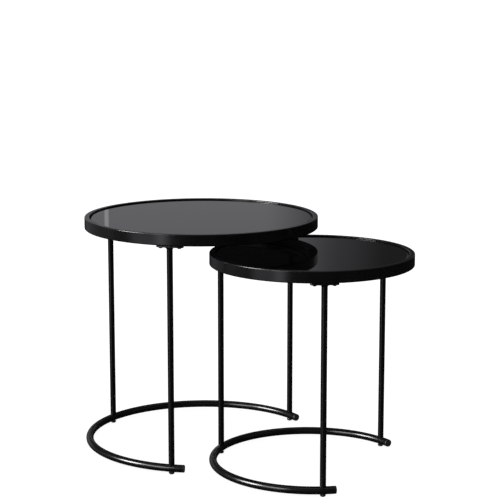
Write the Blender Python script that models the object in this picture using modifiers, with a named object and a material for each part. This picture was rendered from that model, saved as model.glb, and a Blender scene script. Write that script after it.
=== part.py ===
"""A pair of round nesting side tables with black glass tops.

Each table is a rolled steel rim that holds a loose glass disc, three tube legs and a
C-shaped base ring. The smaller table slides in under the larger one through the open
side of the larger base ring.

Frame: metres, +Z up, origin on the floor under the middle of the pair. +X is the way
the open side of the larger table faces, and the way the smaller table pulls out.
"""
from math import cos, pi, radians, sin
from types import SimpleNamespace

import bmesh
import bpy
from mathutils import Vector

# Driving dimensions of the two tables. Angles are in degrees from the table's open side.
LARGE = SimpleNamespace(
    name="large",
    height=0.500,
    top_radius=0.250,
    ring_radius=0.2465,
    leg_angle=70.5,
    ring_end_angle=65.0,
)
SMALL = SimpleNamespace(
    name="small",
    height=0.4525,
    top_radius=0.210,
    ring_radius=0.204,
    leg_angle=62.5,
    ring_end_angle=56.0,
)

# Where the smaller table stands beside the larger one's centre, and how far it is turned
PULL_OUT = 0.290
SIDE_STEP = -0.024
SMALL_YAW = 10.0

# Steel sections
RIM_WIDTH = 0.011
RIM_HEIGHT = 0.024
RIM_WALL = 0.0015
RIM_CORNER = 0.0012
LEG_RADIUS = 0.00625
LEG_WALL = 0.0012
TUBE_RADIUS = 0.008
TUBE_WALL = 0.0012
TUBE_CENTRE = 0.0125

# Glass and what it lies on
GLASS_THICKNESS = 0.005
GLASS_RECESS = 0.0028
GLASS_SIDE_GAP = 0.0015
GLASS_BEVEL_WIDTH = 0.003
GLASS_BEVEL_DROP = 0.0014
GLASS_ARRIS = 0.0004
PAD_THICKNESS = 0.0009
PAD_RADIUS = 0.004
PAD_ANGLES = (30.0, 150.0, 270.0)
LEDGE_WIDTH = 0.012
LEDGE_THICKNESS = 0.002

# Plate between a leg and the rim, and its screws
PLATE_LENGTH = 0.057
PLATE_WIDTH = 0.013
PLATE_THICKNESS = 0.003
SCREW_SPREAD = 0.0195
SCREW_SHANK_RADIUS = 0.0019
SCREW_HOLE_RADIUS = 0.0022
SCREW_HEAD_RADIUS = 0.004
SCREW_HEAD_HEIGHT = 0.0023
SCREW_REACH = 0.007

# Base bolt, the insert that it goes into, and the foot over its head
BOLT_RADIUS = 0.0025
BOLT_HOLE_RADIUS = 0.0028
BOLT_HEAD_RADIUS = 0.0045
BOLT_HEAD_HEIGHT = 0.0024
BOLT_TOP = 0.036
INSERT_LENGTH = 0.018
FOOT_RADIUS = 0.006
FOOT_FLAT_RADIUS = 0.0032
FOOT_DOME_HEIGHT = 0.0034
FOOT_FLOOR = 0.0015
FOOT_WALL = 0.0011

# Plug in each open end of a base ring
PLUG_HEAD = 0.0028
PLUG_CHAMFER = 0.0012
PLUG_STEM_RADIUS = 0.0061
PLUG_STEM_LENGTH = 0.011

# Clearance left between pieces that touch, and how finely round shapes are divided
GAP = 0.0003
RIM_STEPS = 64
RING_SEGMENTS = 40
LEG_STEPS = 12
SMALL_STEPS = 10
DOME_STEPS = 3


def clear_scene():
    for scene_object in list(bpy.data.objects):
        bpy.data.objects.remove(scene_object, do_unlink=True)


def new_collection(name):
    collection = bpy.data.collections.new(name)
    bpy.context.scene.collection.children.link(collection)
    return collection


def make_material(name, colour, roughness, metallic):
    material = bpy.data.materials.new(name)
    material.use_nodes = True
    shader = material.node_tree.nodes["Principled BSDF"]
    shader.inputs["Base Color"].default_value = (*colour, 1.0)
    shader.inputs["Roughness"].default_value = roughness
    shader.inputs["Metallic"].default_value = metallic
    return material


def add_part(name, data, table, material, location=(0, 0, 0), yaw=0.0):
    """Put a mesh or curve in the table's collection, placed under the table's empty."""
    part = bpy.data.objects.new(name, data)
    data.materials.append(material)
    PARTS.objects.link(part)
    part.parent = table.empty
    part.location = location
    part.rotation_euler = (0, 0, yaw)
    return part


def add_cutter(name, data, table, location=(0, 0, 0), rotation=(0, 0, 0)):
    cutter = bpy.data.objects.new(name, data)
    CUTTERS.objects.link(cutter)
    cutter.parent = table.empty
    cutter.location = location
    cutter.rotation_euler = rotation
    cutter.hide_render = True
    cutter.display_type = "WIRE"
    return cutter


def cut(part, cutter):
    boolean = part.modifiers.new("cut", "BOOLEAN")
    boolean.operation = "DIFFERENCE"
    boolean.solver = "EXACT"
    boolean.object = cutter


def shade_round(part, sharp_angle=35.0):
    part.data.shade_smooth()
    part.data.set_sharp_from_angle(angle=radians(sharp_angle))


def turned_mesh(name, *profiles):
    """Mesh of profiles in the XZ plane. A profile that misses the axis is a closed loop."""
    points = []
    edges = []
    for profile in profiles:
        first = len(points)
        count = len(profile)
        points.extend((radius, 0.0, height) for radius, height in profile)
        edges.extend((first + i, first + i + 1) for i in range(count - 1))
        if profile[0][0] > 0.0:
            edges.append((first + count - 1, first))
    mesh = bpy.data.meshes.new(name)
    mesh.from_pydata(points, edges, [])
    return mesh


def spin(part, steps):
    screw = part.modifiers.new("spin", "SCREW")
    screw.angle = 2 * pi
    screw.steps = steps
    screw.render_steps = steps
    screw.use_merge_vertices = True
    screw.merge_threshold = 0.00001


def cylinders_mesh(name, centres, radius, bottom, top, sides):
    """Upright closed cylinders at the given (x, y) centres, in one mesh."""
    bm = bmesh.new()
    for x, y in centres:
        made = bmesh.ops.create_cone(
            bm, cap_ends=True, segments=sides, radius1=radius, radius2=radius, depth=top - bottom)
        bmesh.ops.translate(bm, verts=made["verts"], vec=(x, y, (top + bottom) / 2))
    mesh = bpy.data.meshes.new(name)
    bm.to_mesh(mesh)
    bm.free()
    return mesh


def tube_mesh(name, points, radius):
    """Mesh of an open-ended round tube along a run of points."""
    path = bpy.data.curves.new(name, "CURVE")
    path.dimensions = "3D"
    path.bevel_depth = radius
    path.bevel_resolution = 4
    spline = path.splines.new("POLY")
    spline.points.add(len(points) - 1)
    for spline_point, point in zip(spline.points, points):
        spline_point.co = (*point, 1.0)
    guide = bpy.data.objects.new(name, path)
    bpy.context.scene.collection.objects.link(guide)
    depsgraph = bpy.context.evaluated_depsgraph_get()
    mesh = bpy.data.meshes.new_from_object(guide.evaluated_get(depsgraph))
    bpy.data.objects.remove(guide)
    bm = bmesh.new()
    bm.from_mesh(mesh)
    bmesh.ops.remove_doubles(bm, verts=bm.verts, dist=0.00001)
    bm.to_mesh(mesh)
    bm.free()
    return mesh


def on_circle(radius, angle):
    return Vector((radius * cos(angle), radius * sin(angle), 0.0))


def leg_places(table):
    """Name and angle of each leg: one on each side of the opening, one opposite it."""
    return (
        ("left", radians(table.leg_angle)),
        ("right", radians(-table.leg_angle)),
        ("back", pi),
    )


def dome(radius, height, bottom):
    """Points down a shallow dome that hangs below its flat base, from its edge to its pole."""
    points = []
    for step in range(1, DOME_STEPS + 1):
        angle = step * pi / 2 / DOME_STEPS
        points.append((radius * cos(angle), bottom + height * (1 - sin(angle))))
    points[-1] = (0.0, bottom)
    return points


def build_rim(table):
    """Rectangular tube rolled into a hoop, with two screw holes below for each leg plate."""
    outer = table.top_radius
    inner = outer - RIM_WIDTH
    top = table.height
    bottom = table.rim_bottom
    c = RIM_CORNER
    w = RIM_WALL
    skin = [
        (outer, top - c),
        (outer, bottom + c),
        (outer - c, bottom),
        (inner + c, bottom),
        (inner, bottom + c),
        (inner, top - c),
        (inner + c, top),
        (outer - c, top),
    ]
    hollow = [
        (outer - w, bottom + w),
        (outer - w, top - w),
        (inner + w, top - w),
        (inner + w, bottom + w),
    ]
    name = table.name + "_top_rim"
    rim = add_part(name, turned_mesh(name, skin, hollow), table, BLACK_STEEL)
    spin(rim, RIM_STEPS)
    holes = cylinders_mesh(
        name + "_holes", screw_centres(table), SCREW_HOLE_RADIUS, bottom - w, bottom + 2 * w, SMALL_STEPS)
    cut(rim, add_cutter(name + "_holes", holes, table))
    shade_round(rim)


def screw_centres(table):
    centres = []
    for _, angle in leg_places(table):
        middle = on_circle(table.rim_middle, angle)
        along = on_circle(SCREW_SPREAD, angle + pi / 2)
        centres.append((middle + along).xy)
        centres.append((middle - along).xy)
    return centres


def build_ledge(table):
    """Flat hoop welded inside the rim, under the glass."""
    outer = table.top_radius - RIM_WIDTH - GAP
    inner = outer - LEDGE_WIDTH
    top = table.ledge_top
    bottom = top - LEDGE_THICKNESS
    profile = [(outer, top), (outer, bottom), (inner, bottom), (inner, top)]
    name = table.name + "_glass_ledge"
    ledge = add_part(name, turned_mesh(name, profile), table, BLACK_STEEL)
    spin(ledge, RIM_STEPS)
    shade_round(ledge)


def build_pads(table):
    """Soft pads on the ledge, which the glass rests on."""
    bottom = table.ledge_top + GAP
    radius = table.top_radius - RIM_WIDTH - LEDGE_WIDTH / 2
    for number, angle in enumerate(PAD_ANGLES, start=1):
        name = f"{table.name}_glass_pad_{number}"
        mesh = cylinders_mesh(name, [(0, 0)], PAD_RADIUS, bottom, bottom + PAD_THICKNESS, SMALL_STEPS)
        pad = add_part(name, mesh, table, CLEAR_SILICONE, on_circle(radius, radians(angle)))
        shade_round(pad)


def build_glass(table):
    """Loose glass disc with a polished bevel round its top edge."""
    top = table.height - GLASS_RECESS
    bottom = top - GLASS_THICKNESS
    radius = table.top_radius - RIM_WIDTH - GLASS_SIDE_GAP
    profile = [
        (0.0, top),
        (radius - GLASS_BEVEL_WIDTH, top),
        (radius, top - GLASS_BEVEL_DROP),
        (radius, bottom + GLASS_ARRIS),
        (radius - GLASS_ARRIS, bottom),
        (0.0, bottom),
    ]
    name = table.name + "_glass_top"
    glass = add_part(name, turned_mesh(name, profile), table, BLACK_GLASS)
    spin(glass, RIM_STEPS)
    shade_round(glass, sharp_angle=20.0)


def build_leg(table, place, angle):
    """Round tube from its plate down to a saddle that sits on the base ring."""
    centre = on_circle(table.ring_radius, angle)
    inner = LEG_RADIUS - LEG_WALL
    profile = [
        (LEG_RADIUS, table.leg_top),
        (LEG_RADIUS, TUBE_CENTRE),
        (inner, TUBE_CENTRE),
        (inner, table.leg_top),
    ]
    name = f"{table.name}_leg_{place}"
    leg = add_part(name, turned_mesh(name, profile), table, BLACK_STEEL, centre, angle)
    spin(leg, LEG_STEPS)
    reach = 4 * TUBE_RADIUS
    saddle = cylinders_mesh(
        name + "_saddle", [(0, 0)], TUBE_RADIUS + GAP, -reach, reach, 2 * LEG_STEPS)
    place_on_ring = (centre.x, centre.y, TUBE_CENTRE)
    cut(leg, add_cutter(name + "_saddle", saddle, table, place_on_ring, (pi / 2, 0, angle)))
    shade_round(leg)


def build_plate(table, place, angle):
    """Flat bar with round ends, welded on a leg and screwed up under the rim."""
    name = f"{table.name}_leg_plate_{place}"
    outline = bpy.data.curves.new(name, "CURVE")
    outline.dimensions = "2D"
    outline.fill_mode = "BOTH"
    outline.extrude = PLATE_THICKNESS / 2
    end_radius = PLATE_WIDTH / 2
    end_centre = PLATE_LENGTH / 2 - end_radius
    half = SMALL_STEPS // 2
    far_end = [step * pi / half for step in range(half + 1)]
    edge = [(end_radius * cos(a), end_centre + end_radius * sin(a)) for a in far_end]
    edge += [(-x, -y) for x, y in edge]
    add_outline(outline, edge)
    turn = [step * 2 * pi / SMALL_STEPS for step in range(SMALL_STEPS)]
    for middle in (SCREW_SPREAD, -SCREW_SPREAD):
        add_outline(
            outline,
            [(SCREW_HOLE_RADIUS * cos(a), middle + SCREW_HOLE_RADIUS * sin(a)) for a in turn])
    centre = on_circle(table.rim_middle, angle)
    centre.z = table.rim_bottom - GAP - PLATE_THICKNESS / 2
    add_part(name, outline, table, BLACK_STEEL, centre, angle)


def add_outline(curve, points):
    spline = curve.splines.new("POLY")
    spline.points.add(len(points) - 1)
    spline.use_cyclic_u = True
    for spline_point, (x, y) in zip(spline.points, points):
        spline_point.co = (x, y, 0.0, 1.0)


def build_plate_screws(table, place, angle):
    """Two dome-head screws through a leg plate, up into the hollow of the rim."""
    seat = table.rim_bottom - GAP - PLATE_THICKNESS - GAP
    profile = [
        (0.0, table.rim_bottom + SCREW_REACH),
        (SCREW_SHANK_RADIUS, table.rim_bottom + SCREW_REACH),
        (SCREW_SHANK_RADIUS, seat),
        (SCREW_HEAD_RADIUS, seat),
    ]
    profile += dome(SCREW_HEAD_RADIUS, SCREW_HEAD_HEIGHT, seat - SCREW_HEAD_HEIGHT)
    along = on_circle(SCREW_SPREAD, angle + pi / 2)
    for number, side in enumerate((along, -along), start=1):
        name = f"{table.name}_plate_screw_{place}_{number}"
        centre = on_circle(table.rim_middle, angle) + side
        screw = add_part(name, turned_mesh(name, profile), table, BLACK_ZINC, centre)
        spin(screw, SMALL_STEPS)
        shade_round(screw)


def build_insert(table, place, angle):
    """Threaded sleeve pressed into the bottom of a leg for the base bolt."""
    outer = LEG_RADIUS - LEG_WALL - GAP
    bottom = TUBE_CENTRE + TUBE_RADIUS + GAP
    top = bottom + INSERT_LENGTH
    profile = [
        (outer, top), (outer, bottom), (BOLT_HOLE_RADIUS, bottom), (BOLT_HOLE_RADIUS, top)]
    name = f"{table.name}_leg_insert_{place}"
    centre = on_circle(table.ring_radius, angle)
    insert = add_part(name, turned_mesh(name, profile), table, ZINC_STEEL, centre)
    spin(insert, SMALL_STEPS)
    shade_round(insert)


def build_bolt(table, place, angle):
    """Bolt up through the base ring into a leg's insert."""
    seat = TUBE_CENTRE - TUBE_RADIUS - GAP
    profile = [
        (0.0, BOLT_TOP),
        (BOLT_RADIUS, BOLT_TOP),
        (BOLT_RADIUS, seat),
        (BOLT_HEAD_RADIUS, seat),
        (BOLT_HEAD_RADIUS, seat - BOLT_HEAD_HEIGHT),
        (0.0, seat - BOLT_HEAD_HEIGHT),
    ]
    name = f"{table.name}_base_bolt_{place}"
    centre = on_circle(table.ring_radius, angle)
    bolt = add_part(name, turned_mesh(name, profile), table, ZINC_STEEL, centre)
    spin(bolt, SMALL_STEPS)
    shade_round(bolt)


def build_foot(table, place, angle):
    """Rubber cup pushed over a bolt's head, domed below, with a small flat on the floor."""
    top = TUBE_CENTRE - TUBE_RADIUS - GAP
    pocket = FOOT_RADIUS - FOOT_WALL
    shoulder = FOOT_RADIUS - FOOT_FLAT_RADIUS
    profile = [
        (0.0, FOOT_FLOOR),
        (pocket, FOOT_FLOOR),
        (pocket, top),
        (FOOT_RADIUS, top),
        (FOOT_RADIUS, FOOT_DOME_HEIGHT),
    ]
    for step in range(1, DOME_STEPS + 1):
        turn = step * pi / 2 / DOME_STEPS
        profile.append((
            FOOT_FLAT_RADIUS + shoulder * cos(turn), FOOT_DOME_HEIGHT * (1 - sin(turn))))
    profile[-1] = (FOOT_FLAT_RADIUS, 0.0)
    profile.append((0.0, 0.0))
    name = f"{table.name}_foot_{place}"
    centre = on_circle(table.ring_radius, angle)
    foot = add_part(name, turned_mesh(name, profile), table, BLACK_RUBBER, centre)
    spin(foot, SMALL_STEPS)
    shade_round(foot)


def build_base_ring(table):
    """C-shaped round tube on the floor, drilled for the bolts, with a plug in each end."""
    start = radians(table.ring_end_angle)
    step = (2 * pi - 2 * start) / RING_SEGMENTS
    points = [on_circle(table.ring_radius, start + i * step) for i in range(RING_SEGMENTS + 1)]
    name = table.name + "_base_ring"
    mesh = tube_mesh(name, points, TUBE_RADIUS)
    ring = add_part(name, mesh, table, BLACK_STEEL, (0, 0, TUBE_CENTRE))
    wall = ring.modifiers.new("wall", "SOLIDIFY")
    wall.thickness = TUBE_WALL
    wall.offset = -1.0
    centres = [on_circle(table.ring_radius, angle).xy for _, angle in leg_places(table)]
    reach = 2 * TUBE_RADIUS
    holes = cylinders_mesh(
        name + "_holes", centres, BOLT_HOLE_RADIUS, TUBE_CENTRE - reach, TUBE_CENTRE + reach, SMALL_STEPS)
    cut(ring, add_cutter(name + "_holes", holes, table))
    shade_round(ring)
    build_plug(table, "left", points[0], points[0] - points[1])
    build_plug(table, "right", points[-1], points[-1] - points[-2])


def build_plug(table, place, end, outward):
    """Plastic plug: a stem inside the tube and a head that covers its end."""
    profile = [
        (0.0, GAP + PLUG_HEAD),
        (TUBE_RADIUS - PLUG_CHAMFER, GAP + PLUG_HEAD),
        (TUBE_RADIUS, GAP + PLUG_HEAD - PLUG_CHAMFER),
        (TUBE_RADIUS, GAP),
        (PLUG_STEM_RADIUS, GAP),
        (PLUG_STEM_RADIUS, -PLUG_STEM_LENGTH),
        (0.0, -PLUG_STEM_LENGTH),
    ]
    name = f"{table.name}_ring_plug_{place}"
    centre = (end.x, end.y, TUBE_CENTRE)
    plug = add_part(name, turned_mesh(name, profile), table, BLACK_PLASTIC, centre)
    plug.rotation_euler = outward.to_track_quat("Z", "X").to_euler()
    spin(plug, LEG_STEPS)
    shade_round(plug)


def build_table(table, x, y, yaw):
    """One whole table, built about its own centre on the floor."""
    table.empty = bpy.data.objects.new(table.name + "_table_centre", None)
    PARTS.objects.link(table.empty)
    table.empty.location = (x, y, 0)
    table.empty.rotation_euler = (0, 0, radians(yaw))
    table.rim_bottom = table.height - RIM_HEIGHT
    table.rim_middle = table.top_radius - RIM_WIDTH / 2
    table.leg_top = table.rim_bottom - GAP - PLATE_THICKNESS - GAP
    table.ledge_top = table.height - GLASS_RECESS - GLASS_THICKNESS - 2 * GAP - PAD_THICKNESS
    build_rim(table)
    build_ledge(table)
    build_pads(table)
    build_glass(table)
    build_base_ring(table)
    for place, angle in leg_places(table):
        build_leg(table, place, angle)
        build_plate(table, place, angle)
        build_plate_screws(table, place, angle)
        build_insert(table, place, angle)
        build_bolt(table, place, angle)
        build_foot(table, place, angle)


clear_scene()
PARTS = new_collection("nesting_tables")
CUTTERS = new_collection("cutters")
BLACK_STEEL = make_material("black_steel", (0.012, 0.012, 0.013), 0.35, 0.0)
BLACK_GLASS = make_material("black_glass", (0.006, 0.006, 0.007), 0.04, 0.0)
BLACK_ZINC = make_material("black_zinc", (0.03, 0.03, 0.032), 0.3, 1.0)
ZINC_STEEL = make_material("zinc_steel", (0.55, 0.56, 0.58), 0.32, 1.0)
BLACK_RUBBER = make_material("black_rubber", (0.015, 0.015, 0.015), 0.75, 0.0)
BLACK_PLASTIC = make_material("black_plastic", (0.014, 0.014, 0.015), 0.45, 0.0)
CLEAR_SILICONE = make_material("clear_silicone", (0.62, 0.64, 0.65), 0.3, 0.0)

# The origin halves the pair's length, from the back of the larger ring to the smaller rim
back_edge = -(LARGE.ring_radius + TUBE_RADIUS)
front_edge = PULL_OUT + SMALL.top_radius
large_x = -(back_edge + front_edge) / 2
build_table(LARGE, large_x, 0.0, 0.0)
build_table(SMALL, large_x + PULL_OUT, SIDE_STEP, SMALL_YAW)
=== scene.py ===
"""Looks of the nesting tables: finished meshes, materials, studio light and camera."""

from math import atan2, cos, degrees, hypot, pi, radians, sin, sqrt
from types import SimpleNamespace

import bmesh
import bpy
from mathutils import Matrix, Vector


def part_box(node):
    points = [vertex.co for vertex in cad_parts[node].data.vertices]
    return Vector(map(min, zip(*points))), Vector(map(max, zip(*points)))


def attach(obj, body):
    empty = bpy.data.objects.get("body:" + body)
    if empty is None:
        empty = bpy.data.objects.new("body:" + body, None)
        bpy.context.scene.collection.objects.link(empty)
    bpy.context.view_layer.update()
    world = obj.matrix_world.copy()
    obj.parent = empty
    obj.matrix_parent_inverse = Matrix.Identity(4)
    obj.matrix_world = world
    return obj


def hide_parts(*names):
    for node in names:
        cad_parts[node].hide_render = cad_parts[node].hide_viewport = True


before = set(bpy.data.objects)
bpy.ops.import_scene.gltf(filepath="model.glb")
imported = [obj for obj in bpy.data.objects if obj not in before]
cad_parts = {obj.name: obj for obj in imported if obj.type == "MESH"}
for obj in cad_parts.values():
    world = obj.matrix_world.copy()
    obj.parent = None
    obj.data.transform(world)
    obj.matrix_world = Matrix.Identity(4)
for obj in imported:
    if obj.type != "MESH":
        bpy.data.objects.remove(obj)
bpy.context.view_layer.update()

# The legs of each table, named as the CAD names them
PLACES = ("left", "right", "back")

# Camera, relative to the larger table's centre, in metres and degrees
CAMERA_AZIMUTH = 32.77
CAMERA_BACK = 3.4232
CAMERA_SIDE = 0.1043
CAMERA_HEIGHT = 1.0474
CAMERA_TILT = 10.322
CAMERA_LENS = 116.31
SENSOR_WIDTH = 36.0

# Studio. Azimuths are in degrees, 0 from -Y and 90 from +X. The room's own brightness is given
# below the horizon, at it and overhead.
FLOOR_RADIUS = 60.0
FLOOR_GLOW = 0.93
FLOOR_SUN = 0.35
ROOM_TINT = (0.975, 0.985, 1.03, 1.0)
ROOM_BELOW = 0.012
ROOM_HORIZON = 0.03
ROOM_OVERHEAD = 0.09
BACKDROP = 1.0
KEY_AZIMUTH = -42.0
KEY_ELEVATION = 23.0
KEY_STRENGTH = 5.0
KEY_SIZE = 26.0
FILL_AZIMUTH = -10.0
FILL_STRENGTH = 1.1
FLOOR_SUN_SIZE = 120.0

# Light panels around the room, which the camera itself doesn't see, with angles in degrees:
# (azimuth, half width, lower elevation, upper elevation, soft edge, brightness)
PANELS = (
    (-18.0, 19.0, -13.0, 1.0, 4.0, 0.72),
    (-4.0, 5.0, -13.0, 1.0, 4.0, 1.20),
    (-90.0, 32.0, -13.0, 8.0, 8.0, 0.16),
    (235.0, 24.1, 3.5, 16.0, 1.5, 0.25),
    (217.91, 0.07, 3.5, 14.0, 0.03, 0.27),
    (209.7, 1.0, 3.5, 16.0, 1.0, 0.05),
    (194.0, 11.0, 3.5, 16.0, 2.0, 0.10),
    (300.0, 20.0, 10.0, 30.0, 5.0, 0.16),
    (20.0, 25.0, 12.0, 32.0, 5.0, 0.12),
    (100.0, 20.0, 10.0, 30.0, 5.0, 0.16),
)
# The ceiling brightens from the first elevation to the second, by the third number
CEILING = (55.0, 75.0, 0.35)

# How finely round shapes are divided
HOOP_STEPS = 288
TUBE_SIDES = 40
LEG_SIDES = 48
SCREW_SIDES = 48
CORNER_STEPS = 6
# A rounded corner's flats begin this many radii from the corner, so that they shade flat
FLAT_START = 1.4

# Sizes and small shapes, in metres
LEG_RADIUS = 0.00625
PLATE_HALF_WIDTH = 0.0065
PLATE_HALF_LENGTH = 0.0285
PLATE_HOLE_RADIUS = 0.0022
RIM_CORNER = 0.0016
RIM_SEAM_WIDTH = 0.0022
RIM_SEAM_HEIGHT = 0.00018
GLASS_BEVEL_WIDTH = 0.003
GLASS_BEVEL_DROP = 0.0014
GLASS_EDGE_ROUND = 0.0004
LEDGE_ROUND = 0.0005
TACKS = 6
TACK_LENGTH = 0.012
TACK_RADIUS = 0.0018
TACK_RIPPLES = 5
TACK_RIPPLE = 0.14
TACK_STEPS = 24
TACK_SIDES = 8
PAD_SOFTNESS = 0.0003
TUBE_END_EASE = 0.0003
TUBE_WALL = 0.0012
LEG_WALL = 0.0012
WELD_HEIGHT = 0.0032
WELD_WIDTH = 0.0026
WELD_ROWS = 6
WELD_RIPPLE = 0.00022
WELD_RIPPLES_AROUND = 22
WELD_RIPPLE_TWIST = 900
PLATE_ROUND = 0.0006
SCREW_HEAD_HEIGHT = 0.0023
SCREW_SHANK_RADIUS = 0.0019
SCREW_EDGE = 0.0002
SCREW_SIDE = 0.0005
SOCKET_FLAT = 0.00125
SOCKET_DEPTH = 0.0013
FOOT_WALL = 0.0011
FOOT_FLOOR = 0.0015
FOOT_DOME_HEIGHT = 0.0034
FOOT_TREAD_RADIUS = 0.0032
PLUG_HEAD = 0.0028
PLUG_ROUND = 0.0013
PLUG_STEM_RADIUS = 0.0061
PLUG_STEM_LENGTH = 0.011
GAP = 0.0003


# ---------------------------------------------------------------- places, read from the CAD

def middle(node):
    low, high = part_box(node)
    return (low + high) / 2


def bearing(point, centre):
    """Direction of a point seen from a table's centre, in radians."""
    return atan2(point.y - centre.y, point.x - centre.x)


def read_table(name):
    """Centre, heights and radii of one table, measured on its CAD nodes."""
    t = SimpleNamespace(name=name, body=name + "_table", glass_body=name + "_glass")
    rim_low, rim_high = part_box(name + "_top_rim")
    t.centre = (rim_low + rim_high) / 2
    t.rim_outer = (rim_high.x - rim_low.x) / 2
    t.rim_bottom = rim_low.z
    t.rim_top = rim_high.z
    ledge_low, ledge_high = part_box(name + "_glass_ledge")
    t.ledge_outer = (ledge_high.x - ledge_low.x) / 2
    t.ledge_bottom = ledge_low.z
    t.ledge_top = ledge_high.z
    t.rim_inner = t.ledge_outer + GAP
    ledge_radii = [hypot(v.co.x - t.centre.x, v.co.y - t.centre.y)
                   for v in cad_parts[name + "_glass_ledge"].data.vertices]
    t.ledge_inner = min(ledge_radii)
    glass_low, glass_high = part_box(name + "_glass_top")
    t.glass_radius = (glass_high.x - glass_low.x) / 2
    t.glass_bottom = glass_low.z
    t.glass_top = glass_high.z
    ring_low, ring_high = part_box(name + "_base_ring")
    t.tube_centre = (ring_low.z + ring_high.z) / 2
    t.tube_radius = (ring_high.z - ring_low.z) / 2
    back = middle(name + "_leg_back")
    t.opening = bearing(back, t.centre) + pi
    t.ring_radius = hypot(back.x - t.centre.x, back.y - t.centre.y)
    t.ring_end = min(abs(turn_between(bearing(v.co, t.centre), t.opening))
                     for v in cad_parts[name + "_base_ring"].data.vertices)
    leg_low, leg_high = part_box(name + "_leg_back")
    t.leg_top = leg_high.z
    t.leg_radius = LEG_RADIUS
    t.legs = {}
    for place in PLACES:
        t.legs[place] = bearing(middle(f"{name}_leg_{place}"), t.centre)
    return t


def turn_between(angle, start):
    """Turn from start to angle, from -pi to pi."""
    return (angle - start + pi) % (2 * pi) - pi


def on_circle(t, radius, angle, z=0.0):
    return Vector((t.centre.x + radius * cos(angle), t.centre.y + radius * sin(angle), z))


# ---------------------------------------------------------------- mesh making

def to_object(name, bm, sharp_angle=32.0):
    mesh = bpy.data.meshes.new(name)
    bmesh.ops.recalc_face_normals(bm, faces=bm.faces)
    bm.to_mesh(mesh)
    bm.free()
    mesh.shade_smooth()
    mesh.set_sharp_from_angle(angle=radians(sharp_angle))
    made = bpy.data.objects.new(name, mesh)
    bpy.context.scene.collection.objects.link(made)
    return made


def lathe(bm, profile, steps, place=Matrix.Identity(4), shape=None):
    """Turn a profile of (radius, height) points about Z. A profile that meets the axis at
    neither end is a closed loop. shape(radius, height, angle) may move a point."""
    rows = []
    for radius, height in profile:
        if radius == 0.0:
            rows.append([bm.verts.new(place @ Vector((0.0, 0.0, height)))])
            continue
        row = []
        for step in range(steps):
            angle = step * 2 * pi / steps
            r, z = shape(radius, height, angle) if shape else (radius, height)
            row.append(bm.verts.new(place @ Vector((r * cos(angle), r * sin(angle), z))))
        rows.append(row)
    if profile[0][0] > 0.0:
        rows.append(rows[0])
    for upper, lower in zip(rows, rows[1:]):
        for step in range(steps):
            after = (step + 1) % steps
            if len(upper) == 1:
                bm.faces.new((upper[0], lower[step], lower[after]))
            elif len(lower) == 1:
                bm.faces.new((upper[step], lower[0], upper[after]))
            else:
                bm.faces.new((upper[step], lower[step], lower[after], upper[after]))


def rounded(corners, radius, steps=CORNER_STEPS):
    """A closed profile through the corners, each one rounded to the radius."""
    points = []
    count = len(corners)
    for i, corner in enumerate(corners):
        here = Vector(corner)
        before = (Vector(corners[i - 1]) - here).normalized()
        after = (Vector(corners[(i + 1) % count]) - here).normalized()
        centre = here + (before + after) * radius
        points.append((here + before * radius * FLAT_START)[:])
        for step in range(steps + 1):
            share = step / steps * pi / 2
            point = centre - after * radius * cos(share) - before * radius * sin(share)
            points.append((point.x, point.y))
        points.append((here + after * radius * FLAT_START)[:])
    return points


def upright(point):
    return Matrix.Translation(point)


# ---------------------------------------------------------------- the pieces of one table

def make_rim(t):
    """Rolled box-section hoop, with the faint dressed weld where its ends meet."""
    corners = [
        (t.rim_outer, t.rim_top),
        (t.rim_outer, t.rim_bottom),
        (t.rim_inner, t.rim_bottom),
        (t.rim_inner, t.rim_top),
    ]
    seam = t.opening + pi
    middle_radius = (t.rim_outer + t.rim_inner) / 2

    def seam_shape(radius, height, angle):
        off = turn_between(angle, seam) * radius / RIM_SEAM_WIDTH
        if abs(off) >= 1.0:
            return radius, height
        lift = RIM_SEAM_HEIGHT * (0.5 + 0.5 * cos(off * pi))
        return radius + (lift if radius > middle_radius else -lift), height

    bm = bmesh.new()
    place = upright(Vector((t.centre.x, t.centre.y, 0.0)))
    lathe(bm, rounded(corners, RIM_CORNER), HOOP_STEPS, place, seam_shape)
    add_piece(to_object(t.name + "_rim_hoop", bm), t.body, "black_steel", t.name + "_top_rim")


def make_ledge(t):
    """Flat hoop under the glass, and the short welds that hold it to the rim."""
    corners = [
        (t.ledge_outer, t.ledge_top),
        (t.ledge_outer, t.ledge_bottom),
        (t.ledge_inner, t.ledge_bottom),
        (t.ledge_inner, t.ledge_top),
    ]
    bm = bmesh.new()
    place = upright(Vector((t.centre.x, t.centre.y, 0.0)))
    lathe(bm, rounded(corners, LEDGE_ROUND, 3), HOOP_STEPS, place)
    ledge = to_object(t.name + "_ledge_hoop", bm)
    add_piece(ledge, t.body, "black_steel", t.name + "_glass_ledge")
    welds = bmesh.new()
    for number in range(TACKS):
        angle = t.opening + (number + 0.5) * 2 * pi / TACKS
        weld_run(welds, t, angle)
    add_piece(to_object(t.name + "_ledge_welds", welds, 60.0), t.body, "black_steel")


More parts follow.
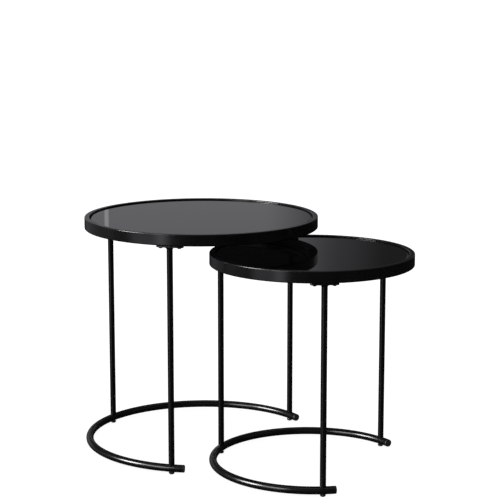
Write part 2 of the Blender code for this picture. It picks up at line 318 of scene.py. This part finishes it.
def weld_run(bm, t, angle):
    """A short rippled bead in the corner between the ledge's underside and the rim."""
    rows = []
    for step in range(TACK_STEPS + 1):
        share = step / TACK_STEPS
        swell = sqrt(max(0.0, 1.0 - (2 * share - 1) ** 4))
        ripple = 1.0 + TACK_RIPPLE * cos(share * TACK_RIPPLES * 2 * pi)
        radius = TACK_RADIUS * max(0.05, swell * ripple)
        at = angle + (share - 0.5) * TACK_LENGTH / t.ledge_outer
        row = []
        for side in range(TACK_SIDES):
            turn = side * 2 * pi / TACK_SIDES
            r = t.ledge_outer - 0.0004 + radius * cos(turn)
            z = t.ledge_bottom - 0.0001 + radius * sin(turn)
            row.append(bm.verts.new(on_circle(t, min(r, t.rim_inner + 0.0006), at, z)))
        rows.append(row)
    for near, far in zip(rows, rows[1:]):
        for side in range(TACK_SIDES):
            after = (side + 1) % TACK_SIDES
            bm.faces.new((near[side], near[after], far[after], far[side]))
    bm.faces.new(rows[0])
    bm.faces.new(rows[-1][::-1])


def make_pads(t):
    """Soft round pads, a little domed, between the ledge and the glass."""
    for number in (1, 2, 3):
        node = f"{t.name}_glass_pad_{number}"
        low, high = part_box(node)
        radius = (high.x - low.x) / 2
        profile = [
            (0.0, high.z),
            (radius - 2 * PAD_SOFTNESS, high.z),
            (radius - 0.6 * PAD_SOFTNESS, high.z - 0.4 * PAD_SOFTNESS),
            (radius, high.z - PAD_SOFTNESS),
            (radius, low.z),
            (0.0, low.z),
        ]
        bm = bmesh.new()
        lathe(bm, profile, LEG_SIDES, upright(Vector((*middle(node).xy, 0.0))))
        add_piece(to_object(f"{t.name}_silicone_pad_{number}", bm), t.body, "clear_silicone", node)


def make_glass(t):
    """Glass disc: flat top, polished bevel, rounded arrises."""
    r = t.glass_radius
    flat = r - GLASS_BEVEL_WIDTH
    shoulder = t.glass_top - GLASS_BEVEL_DROP
    e = GLASS_EDGE_ROUND
    slope = GLASS_BEVEL_DROP / GLASS_BEVEL_WIDTH
    profile = [(0.0, t.glass_top)]
    profile += [(flat * share, t.glass_top) for share in (0.25, 0.5, 0.75, 0.9)]
    profile += [
        (flat - 2 * e, t.glass_top),
        (flat - e, t.glass_top),
        (flat, t.glass_top - 0.15 * e * slope),
        (flat + e, t.glass_top - 0.9 * e * slope),
        (r - 1.5 * e, shoulder + 1.5 * e * slope),
        (r - 0.4 * e, shoulder + 0.1 * e),
        (r, shoulder - 0.8 * e),
        (r, t.glass_bottom + e),
        (r - 0.3 * e, t.glass_bottom + 0.3 * e),
        (r - e, t.glass_bottom),
        (0.0, t.glass_bottom),
    ]
    bm = bmesh.new()
    lathe(bm, profile, HOOP_STEPS, upright(Vector((t.centre.x, t.centre.y, 0.0))))
    glass = to_object(t.name + "_glass_disc", bm, 14.0)
    add_piece(glass, t.glass_body, "black_glass", t.name + "_glass_top")


def make_ring(t):
    """Open C of round tube, with its wall showing at the two cut ends."""
    start = t.opening + t.ring_end
    sweep = 2 * pi - 2 * t.ring_end
    steps = round(HOOP_STEPS * sweep / (2 * pi))
    inner = t.tube_radius - TUBE_WALL
    bm = bmesh.new()

    def section(angle, radius):
        row = []
        for side in range(TUBE_SIDES):
            turn = side * 2 * pi / TUBE_SIDES
            z = t.tube_centre + radius * sin(turn)
            row.append(bm.verts.new(on_circle(t, t.ring_radius + radius * cos(turn), angle, z)))
        return row

    slip = TUBE_END_EASE / t.ring_radius
    turns = [start] + [start + slip + i * (sweep - 2 * slip) / steps for i in range(steps + 1)]
    turns.append(start + sweep)
    outside = [section(a, t.tube_radius) for a in turns[1:-1]]
    outside = [section(turns[0], t.tube_radius - TUBE_END_EASE)] + outside
    outside.append(section(turns[-1], t.tube_radius - TUBE_END_EASE))
    inside = [section(a, inner) for a in turns]
    rows = outside + inside[::-1] + [outside[0]]
    for near, far in zip(rows, rows[1:]):
        for side in range(TUBE_SIDES):
            after = (side + 1) % TUBE_SIDES
            bm.faces.new((near[side], near[after], far[after], far[side]))
    add_piece(to_object(t.name + "_ring_tube", bm), t.body, "black_steel", t.name + "_base_ring")


def make_plugs(t):
    """Moulded plugs in the tube's ends: rounded head, shallow dimple, ribbed stem."""
    r = t.tube_radius
    head = GAP + PLUG_HEAD
    for place, side in (("left", 1), ("right", -1)):
        dimple = [(0.0, head - 0.0005), (0.0008, head - 0.00045), (0.0014, head - 0.0001)]
        profile = dimple + [(0.0018, head)]
        for step in range(CORNER_STEPS + 1):
            share = step / CORNER_STEPS * pi / 2
            profile.append((
                r - PLUG_ROUND * (1 - sin(share)), head - PLUG_ROUND * (1 - cos(share))))
        profile += [(r, GAP), (PLUG_STEM_RADIUS, GAP)]
        for rib in range(3):
            base = -0.002 - rib * 0.003
            profile += [(PLUG_STEM_RADIUS, base), (PLUG_STEM_RADIUS - 0.0005, base - 0.0008)]
        profile += [(PLUG_STEM_RADIUS - 0.0005, -PLUG_STEM_LENGTH), (0.0, -PLUG_STEM_LENGTH)]
        angle = t.opening + side * t.ring_end
        end = on_circle(t, t.ring_radius, angle, t.tube_centre)
        outward = Vector((sin(angle), -cos(angle), 0.0)) * side
        place_matrix = Matrix.Translation(end) @ outward.to_track_quat("Z", "X").to_matrix().to_4x4()
        bm = bmesh.new()
        lathe(bm, profile, LEG_SIDES, place_matrix)
        plug = to_object(f"{t.name}_end_plug_{place}", bm)
        add_piece(plug, t.body, "black_plastic", f"{t.name}_ring_plug_{place}")


def make_leg(t, place):
    """Leg tube: a saddle cut to the ring at the bottom, a rippled weld at the top."""
    angle = t.legs[place]
    inner = t.leg_radius - LEG_WALL
    top = t.leg_top

    def leg_shape(radius, height, turn):
        if height > t.tube_centre:
            across = top - height
            if radius > t.leg_radius:
                wave = cos(WELD_RIPPLES_AROUND * turn + across * WELD_RIPPLE_TWIST)
                return radius + WELD_RIPPLE * wave, height
            return radius, height
        sideways = radius * cos(turn - angle)
        reach = t.tube_radius + GAP
        return radius, t.tube_centre + sqrt(reach ** 2 - sideways ** 2)

    profile = []
    for row in range(WELD_ROWS + 1):
        share = row / WELD_ROWS
        flare = WELD_WIDTH * (1 - sin(share * pi / 2)) if row < WELD_ROWS else 0.0
        profile.append((t.leg_radius + flare, top - WELD_HEIGHT * share))
    for share in (0.75, 0.5, 0.25):
        profile.append((t.leg_radius, top * share + t.tube_centre * (1 - share)))
    profile += [(t.leg_radius, t.tube_centre), (inner, t.tube_centre), (inner, top)]
    bm = bmesh.new()
    centre = on_circle(t, t.ring_radius, angle)
    lathe(bm, profile, LEG_SIDES * 2, upright(centre), leg_shape)
    leg = to_object(f"{t.name}_leg_tube_{place}", bm)
    add_piece(leg, t.body, "black_steel", f"{t.name}_leg_{place}")


def make_plate(t, place):
    """Flat bar with round ends and softened edges, with its two screw holes."""
    node = f"{t.name}_leg_plate_{place}"
    low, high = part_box(node)
    centre = middle(node)
    angle = t.legs[place]
    thickness = high.z - low.z
    screws = [middle(f"{t.name}_plate_screw_{place}_{n}") for n in (1, 2)]
    spread = (screws[0] - screws[1]).length / 2
    half_width = PLATE_HALF_WIDTH - PLATE_ROUND
    end_centre = PLATE_HALF_LENGTH - PLATE_HALF_WIDTH
    outline = bpy.data.curves.new(node + "_outline", "CURVE")
    outline.dimensions = "2D"
    outline.fill_mode = "BOTH"
    outline.extrude = thickness / 2 - PLATE_ROUND
    outline.bevel_depth = PLATE_ROUND
    outline.bevel_resolution = 2
    turns = [step * pi / 16 for step in range(17)]
    edge = [(half_width * cos(a), end_centre + half_width * sin(a)) for a in turns]
    edge += [(-x, -y) for x, y in edge]
    add_outline(outline, edge)
    hole = PLATE_HOLE_RADIUS + PLATE_ROUND
    around = [step * pi / 12 for step in range(24)]
    for side in (spread, -spread):
        add_outline(outline, [(hole * cos(a), side - hole * sin(a)) for a in around])
    guide = bpy.data.objects.new(node + "_outline", outline)
    bpy.context.scene.collection.objects.link(guide)
    depsgraph = bpy.context.evaluated_depsgraph_get()
    mesh = bpy.data.meshes.new_from_object(guide.evaluated_get(depsgraph))
    bpy.data.objects.remove(guide)
    bm = bmesh.new()
    bm.from_mesh(mesh)
    bmesh.ops.remove_doubles(bm, verts=bm.verts, dist=0.00001)
    bmesh.ops.transform(
        bm, matrix=Matrix.Translation(centre) @ Matrix.Rotation(angle, 4, "Z"), verts=bm.verts)
    plate = to_object(f"{t.name}_mount_plate_{place}", bm)
    add_piece(plate, t.body, "black_steel", node)


def add_outline(curve, points):
    """Add one closed outline to a flat curve."""
    spline = curve.splines.new("POLY")
    spline.points.add(len(points) - 1)
    spline.use_cyclic_u = True
    for spline_point, (x, y) in zip(spline.points, points):
        spline_point.co = (x, y, 0.0, 1.0)


def make_screws(t, place):
    """Dome-head screws with a hexagon socket, seen from below."""
    for number in (1, 2):
        node = f"{t.name}_plate_screw_{place}_{number}"
        low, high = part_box(node)
        seat = low.z + SCREW_HEAD_HEIGHT
        head = (high.x - low.x) / 2
        profile = [
            (0.0, high.z),
            (SCREW_SHANK_RADIUS, high.z),
            (SCREW_SHANK_RADIUS, seat),
            (head - SCREW_EDGE, seat),
            (head, seat - SCREW_EDGE),
            (head, seat - SCREW_SIDE),
        ]
        dome = SCREW_HEAD_HEIGHT - SCREW_SIDE
        lip = 1.25 * SOCKET_FLAT
        for step in range(1, 6):
            share = step / 6 * pi / 2
            profile.append((lip + (head - lip) * cos(share), low.z + dome * (1 - sin(share))))
        profile += [
            (lip, low.z),
            (SOCKET_FLAT, low.z + 0.0001),
            (SOCKET_FLAT, low.z + SOCKET_DEPTH),
            (0.0, low.z + SOCKET_DEPTH + 0.0003),
        ]

        def socket_shape(radius, height, turn):
            if radius != SOCKET_FLAT:
                return radius, height
            return radius / cos((turn % (pi / 3)) - pi / 6), height

        bm = bmesh.new()
        lathe(bm, profile, SCREW_SIDES, upright(Vector((*middle(node).xy, 0.0))), socket_shape)
        screw = to_object(f"{t.name}_dome_screw_{place}_{number}", bm)
        add_piece(screw, t.body, "black_zinc", node)


def make_foot(t, place):
    """Domed rubber cup under the ring, with a flat tread and a moulding line."""
    node = f"{t.name}_foot_{place}"
    low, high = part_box(node)
    r = (high.x - low.x) / 2
    pocket = r - FOOT_WALL
    dome = FOOT_DOME_HEIGHT
    profile = [
        (0.0, FOOT_FLOOR),
        (pocket, FOOT_FLOOR),
        (pocket, high.z - 0.0001),
        (pocket + 0.0001, high.z),
        (r - 0.0002, high.z),
        (r, high.z - 0.0002),
        (r, dome + 0.0003),
        (r + 0.0001, dome + 0.0002),
        (r + 0.0001, dome + 0.0001),
        (r, dome),
    ]
    for step in range(1, 11):
        turn = step / 10 * pi / 2
        profile.append((
            FOOT_TREAD_RADIUS + (r - FOOT_TREAD_RADIUS) * cos(turn), dome * (1 - sin(turn))))
    profile.append((FOOT_TREAD_RADIUS - 0.0004, 0.0002))
    profile.append((0.0, 0.0002))
    bm = bmesh.new()
    lathe(bm, profile, LEG_SIDES, upright(Vector((*middle(node).xy, 0.0))))
    add_piece(to_object(f"{t.name}_rubber_foot_{place}", bm), t.body, "black_rubber", node)


def add_piece(piece, body, slot, *nodes):
    """Give a piece its material and body, and hide the CAD nodes that it stands for."""
    piece.data.materials.append(MATERIALS[slot])
    if slot != "black_glass":
        GLINTING.objects.link(piece)
    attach(piece, body)
    if nodes:
        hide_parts(*nodes)


def keep_cad_nodes(t):
    """The hidden fasteners stay as the CAD has them, with finished materials."""
    for place in PLACES:
        for kind in ("leg_insert", "base_bolt"):
            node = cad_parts[f"{t.name}_{kind}_{place}"]
            node.data.materials.clear()
            node.data.materials.append(MATERIALS["zinc_steel"])


# ---------------------------------------------------------------- materials

RANGE_SOCKETS = ("From Min", "From Max", "To Min", "To Max")


class Nodes:
    """A short way to write a material's node tree."""

    def __init__(self, name):
        self.material = bpy.data.materials.new(name)
        self.material.use_nodes = True
        self.tree = self.material.node_tree
        self.shader = self.tree.nodes["Principled BSDF"]
        self.place = self.tree.nodes.new("ShaderNodeTexCoord").outputs["Object"]

    def link(self, source, target):
        self.tree.links.new(source, target)

    def noise(self, scale, detail=2.0, roughness=0.5):
        node = self.tree.nodes.new("ShaderNodeTexNoise")
        node.inputs["Scale"].default_value = scale
        node.inputs["Detail"].default_value = detail
        node.inputs["Roughness"].default_value = roughness
        self.link(self.place, node.inputs["Vector"])
        return node.outputs["Fac"]

    def spread(self, source, low, high, to_low, to_high):
        """Map a value from one range onto another."""
        node = self.tree.nodes.new("ShaderNodeMapRange")
        for socket, value in zip(RANGE_SOCKETS, (low, high, to_low, to_high)):
            node.inputs[socket].default_value = value
        self.link(source, node.inputs["Value"])
        return node.outputs["Result"]

    def add(self, first, second):
        node = self.tree.nodes.new("ShaderNodeMath")
        node.operation = "ADD"
        self.link(first, node.inputs[0])
        self.link(second, node.inputs[1])
        return node.outputs["Value"]

    def mix(self, share, first, second):
        """Blend two colours."""
        node = self.tree.nodes.new("ShaderNodeMix")
        node.data_type = "RGBA"
        self.link(share, node.inputs["Factor"])
        for socket, colour in ((6, first), (7, second)):
            if isinstance(colour, tuple):
                node.inputs[socket].default_value = (*colour, 1.0)
            else:
                self.link(colour, node.inputs[socket])
        return node.outputs[2]

    def bump(self, height, strength, distance):
        node = self.tree.nodes.new("ShaderNodeBump")
        node.inputs["Strength"].default_value = strength
        node.inputs["Distance"].default_value = distance
        self.link(height, node.inputs["Height"])
        self.link(node.outputs["Normal"], self.shader.inputs["Normal"])

    def set(self, socket, value):
        self.shader.inputs[socket].default_value = value


def powder_coat():
    """Semi-gloss black powder coat: orange peel, slow gloss changes, a few pale specks."""
    n = Nodes("black_powder_coat")
    broad = n.noise(9.0, 3.0)
    specks = n.spread(n.noise(1900.0, 1.0), 0.74, 0.80, 0.0, 1.0)
    shade = n.spread(broad, 0.35, 0.65, 0.0, 1.0)
    tone = n.mix(shade, (0.0016, 0.0016, 0.0018), (0.0027, 0.0027, 0.0029))
    n.link(n.mix(specks, tone, (0.010, 0.010, 0.011)), n.shader.inputs["Base Color"])
    gloss = n.spread(n.noise(26.0, 4.0), 0.3, 0.7, 0.17, 0.24)
    n.link(gloss, n.shader.inputs["Roughness"])
    n.bump(n.noise(520.0, 2.0), 0.04, 0.0004)
    return n.material


def black_glass():
    """Polished black glass: mirror-like, with faint smears and a little dust."""
    n = Nodes("black_polished_glass")
    smears = n.spread(n.noise(7.0, 5.0, 0.6), 0.5, 0.8, 0.0, 0.02)
    dust = n.spread(n.noise(1500.0, 1.0), 0.78, 0.84, 0.0, 0.08)
    specks = n.spread(n.noise(1500.0, 1.0), 0.76, 0.82, 0.0, 1.0)
    tone = n.mix(specks, (0.0035, 0.0037, 0.0040), (0.022, 0.022, 0.023))
    n.link(tone, n.shader.inputs["Base Color"])
    polish = n.spread(n.noise(2.0, 1.0), 0.3, 0.7, 0.012, 0.02)
    n.link(n.add(polish, n.add(smears, dust)), n.shader.inputs["Roughness"])
    n.set("IOR", 1.52)
    n.bump(n.noise(3.5, 1.0), 0.02, 0.002)
    return n.material


def black_zinc():
    """Black zinc plate on the small screws: dark metal with fine turning marks."""
    n = Nodes("black_zinc_plate")
    shade = n.spread(n.noise(700.0, 3.0), 0.3, 0.7, 0.0, 1.0)
    n.link(n.mix(shade, (0.020, 0.020, 0.022), (0.045, 0.044, 0.043)), n.shader.inputs["Base Color"])
    n.link(n.spread(n.noise(400.0, 2.0), 0.3, 0.7, 0.26, 0.4), n.shader.inputs["Roughness"])
    n.set("Metallic", 1.0)
    n.bump(n.noise(2600.0, 1.0), 0.15, 0.0001)
    return n.material


def zinc_steel():
    """Bright zinc plate: slightly clouded, with a warm and a cool tint."""
    n = Nodes("bright_zinc_plate")
    cloud = n.spread(n.noise(160.0, 3.0), 0.3, 0.7, 0.0, 1.0)
    n.link(n.mix(cloud, (0.50, 0.52, 0.57), (0.62, 0.60, 0.54)), n.shader.inputs["Base Color"])
    n.link(n.spread(n.noise(300.0, 3.0), 0.3, 0.7, 0.24, 0.38), n.shader.inputs["Roughness"])
    n.set("Metallic", 1.0)
    n.bump(n.noise(1800.0, 2.0), 0.2, 0.0001)
    return n.material


def black_rubber():
    """Moulded rubber: matt, slightly dusty where it is high."""
    n = Nodes("black_moulded_rubber")
    dusty = n.spread(n.noise(220.0, 4.0), 0.45, 0.75, 0.0, 1.0)
    n.link(n.mix(dusty, (0.010, 0.010, 0.010), (0.030, 0.029, 0.027)), n.shader.inputs["Base Color"])
    n.link(n.spread(n.noise(90.0, 2.0), 0.3, 0.7, 0.55, 0.75), n.shader.inputs["Roughness"])
    n.bump(n.noise(1600.0, 2.0), 0.35, 0.0001)
    return n.material


def black_plastic():
    """Moulded polyethylene: satin, with a fine eroded grain."""
    n = Nodes("black_moulded_plastic")
    shade = n.spread(n.noise(60.0, 2.0), 0.3, 0.7, 0.0, 1.0)
    n.link(n.mix(shade, (0.009, 0.009, 0.010), (0.014, 0.014, 0.015)), n.shader.inputs["Base Color"])
    n.link(n.spread(n.noise(500.0, 3.0), 0.3, 0.7, 0.32, 0.45), n.shader.inputs["Roughness"])
    n.bump(n.noise(2400.0, 2.0), 0.25, 0.0001)
    return n.material


def clear_silicone():
    """Cloudy silicone: lets light in and scatters it."""
    n = Nodes("cloudy_silicone")
    cloud = n.spread(n.noise(500.0, 3.0), 0.3, 0.7, 0.0, 1.0)
    n.link(n.mix(cloud, (0.58, 0.60, 0.61), (0.70, 0.71, 0.71)), n.shader.inputs["Base Color"])
    n.link(n.spread(n.noise(300.0, 2.0), 0.3, 0.7, 0.3, 0.42), n.shader.inputs["Roughness"])
    n.set("Transmission Weight", 0.35)
    n.bump(n.noise(1500.0, 1.0), 0.1, 0.0001)
    return n.material


# ---------------------------------------------------------------- stage

def make_floor():
    """Plain pale floor, out past everything that the camera can see."""
    bm = bmesh.new()
    bmesh.ops.create_circle(bm, cap_ends=True, segments=64, radius=FLOOR_RADIUS)
    mesh = bpy.data.meshes.new("floor")
    bm.to_mesh(mesh)
    bm.free()
    floor = bpy.data.objects.new("floor", mesh)
    bpy.context.scene.collection.objects.link(floor)
    n = Nodes("pale_floor")
    tone = n.spread(n.noise(1.5, 3.0), 0.3, 0.7, 0.0, 1.0)
    n.link(n.mix(tone, (0.88, 0.88, 0.88), (0.90, 0.90, 0.90)), n.shader.inputs["Base Color"])
    n.set("Roughness", 0.9)
    n.set("Specular IOR Level", 0.0)
    n.set("Emission Color", (1.0, 1.0, 1.0, 1.0))
    n.set("Emission Strength", FLOOR_GLOW)
    floor.data.materials.append(n.material)
    floor.visible_glossy = False


def make_world():
    """Dark room with soft-edged light panels. The camera itself sees a plain pale backdrop."""
    world = bpy.data.worlds.new("studio")
    bpy.context.scene.world = world
    world.use_nodes = True
    tree = world.node_tree
    direction = tree.nodes.new("ShaderNodeTexCoord").outputs["Generated"]
    split = tree.nodes.new("ShaderNodeSeparateXYZ")
    tree.links.new(direction, split.inputs["Vector"])
    height = split.outputs["Z"]

    def math(operation, *values):
        node = tree.nodes.new("ShaderNodeMath")
        node.operation = operation
        for socket, value in zip(node.inputs, values):
            if isinstance(value, float):
                socket.default_value = value
            else:
                tree.links.new(value, socket)
        return node.outputs["Value"]

    def fade(source, start, end, from_value=0.0, to_value=1.0):
        node = tree.nodes.new("ShaderNodeMapRange")
        node.interpolation_type = "SMOOTHSTEP"
        for socket, value in zip(RANGE_SOCKETS, (start, end, from_value, to_value)):
            node.inputs[socket].default_value = value
        tree.links.new(source, node.inputs["Value"])
        return node.outputs["Result"]

    room = fade(height, -0.02, 0.02, ROOM_BELOW, ROOM_HORIZON)
    room = math("ADD", room, fade(height, 0.1, 1.0, 0.0, ROOM_OVERHEAD - ROOM_HORIZON))
    ceiling_low, ceiling_high, ceiling_lift = CEILING
    ceiling = fade(height, sin(radians(ceiling_low)), sin(radians(ceiling_high)), 0.0, ceiling_lift)
    room = math("ADD", room, ceiling)
    backward = math("MULTIPLY", split.outputs["Y"], -1.0)
    heading = math("MULTIPLY", math("ARCTAN2", split.outputs["X"], backward), 180.0 / pi)
    for azimuth, half, low, high, edge, brightness in PANELS:
        off = math("SUBTRACT", heading, azimuth)
        off = math("ABSOLUTE", math("WRAP", off, 180.0, -180.0))
        panel = fade(off, half + edge, half - edge, 0.0, brightness)
        soft = max(edge, 1.0)
        above = fade(height, sin(radians(low - soft)), sin(radians(low + soft)))
        below = fade(height, sin(radians(high + soft)), sin(radians(high - soft)))
        panel = math("MULTIPLY", math("MULTIPLY", panel, above), below)
        room = math("ADD", room, panel)
    seen = tree.nodes.new("ShaderNodeLightPath").outputs["Is Camera Ray"]
    choose = tree.nodes.new("ShaderNodeMix")
    tree.links.new(seen, choose.inputs["Factor"])
    tree.links.new(room, choose.inputs["A"])
    choose.inputs["B"].default_value = BACKDROP
    background = tree.nodes["Background"]
    background.inputs["Color"].default_value = ROOM_TINT
    tree.links.new(choose.outputs["Result"], background.inputs["Strength"])


def make_sun(name, azimuth, elevation, strength, softness):
    """A distant soft light."""
    lamp = bpy.data.lights.new(name, "SUN")
    lamp.energy = strength
    lamp.angle = radians(softness)
    sun = bpy.data.objects.new(name, lamp)
    bpy.context.scene.collection.objects.link(sun)
    a = radians(azimuth)
    e = radians(elevation)
    towards = Vector((sin(a) * cos(e), -cos(a) * cos(e), sin(e)))
    sun.rotation_euler = towards.to_track_quat("Z", "Y").to_euler()
    return sun


def make_camera():
    """Place the camera by its distances from the larger table's centre."""
    centre = middle("large_top_rim")
    turn = radians(CAMERA_AZIMUTH)
    right = Vector((cos(turn), sin(turn), 0.0))
    back = Vector((sin(turn), -cos(turn), 0.0))
    lens = bpy.data.cameras.new("camera")
    lens.lens = CAMERA_LENS
    lens.sensor_width = SENSOR_WIDTH
    camera = bpy.data.objects.new("camera", lens)
    bpy.context.scene.collection.objects.link(camera)
    above_centre = Vector((centre.x, centre.y, CAMERA_HEIGHT))
    camera.location = above_centre + right * CAMERA_SIDE + back * CAMERA_BACK
    camera.rotation_euler = (radians(90.0 - CAMERA_TILT), 0.0, turn)
    bpy.context.scene.camera = camera


# The key and fill lights light the finished pieces except the glass, and nothing else
GLINTING = bpy.data.collections.new("lit_by_the_key_light")
MATERIALS = {
    "black_steel": powder_coat(),
    "black_glass": black_glass(),
    "black_zinc": black_zinc(),
    "zinc_steel": zinc_steel(),
    "black_rubber": black_rubber(),
    "black_plastic": black_plastic(),
    "clear_silicone": clear_silicone(),
}

for table_name in ("large", "small"):
    table = read_table(table_name)
    make_rim(table)
    make_ledge(table)
    make_pads(table)
    make_glass(table)
    make_ring(table)
    make_plugs(table)
    for leg_place in PLACES:
        make_leg(table, leg_place)
        make_plate(table, leg_place)
        make_screws(table, leg_place)
        make_foot(table, leg_place)
    keep_cad_nodes(table)

make_floor()
make_world()
floor_light = make_sun("floor_light", 0.0, 90.0, FLOOR_SUN, FLOOR_SUN_SIZE)
floor_light.visible_glossy = False
key_light = make_sun("key_light", KEY_AZIMUTH, KEY_ELEVATION, KEY_STRENGTH, KEY_SIZE)
key_light.light_linking.receiver_collection = GLINTING
fill_light = make_sun("fill_light", FILL_AZIMUTH, KEY_ELEVATION, FILL_STRENGTH, KEY_SIZE)
fill_light.light_linking.receiver_collection = GLINTING
make_camera()
bpy.context.scene.view_settings.view_transform = "Standard"
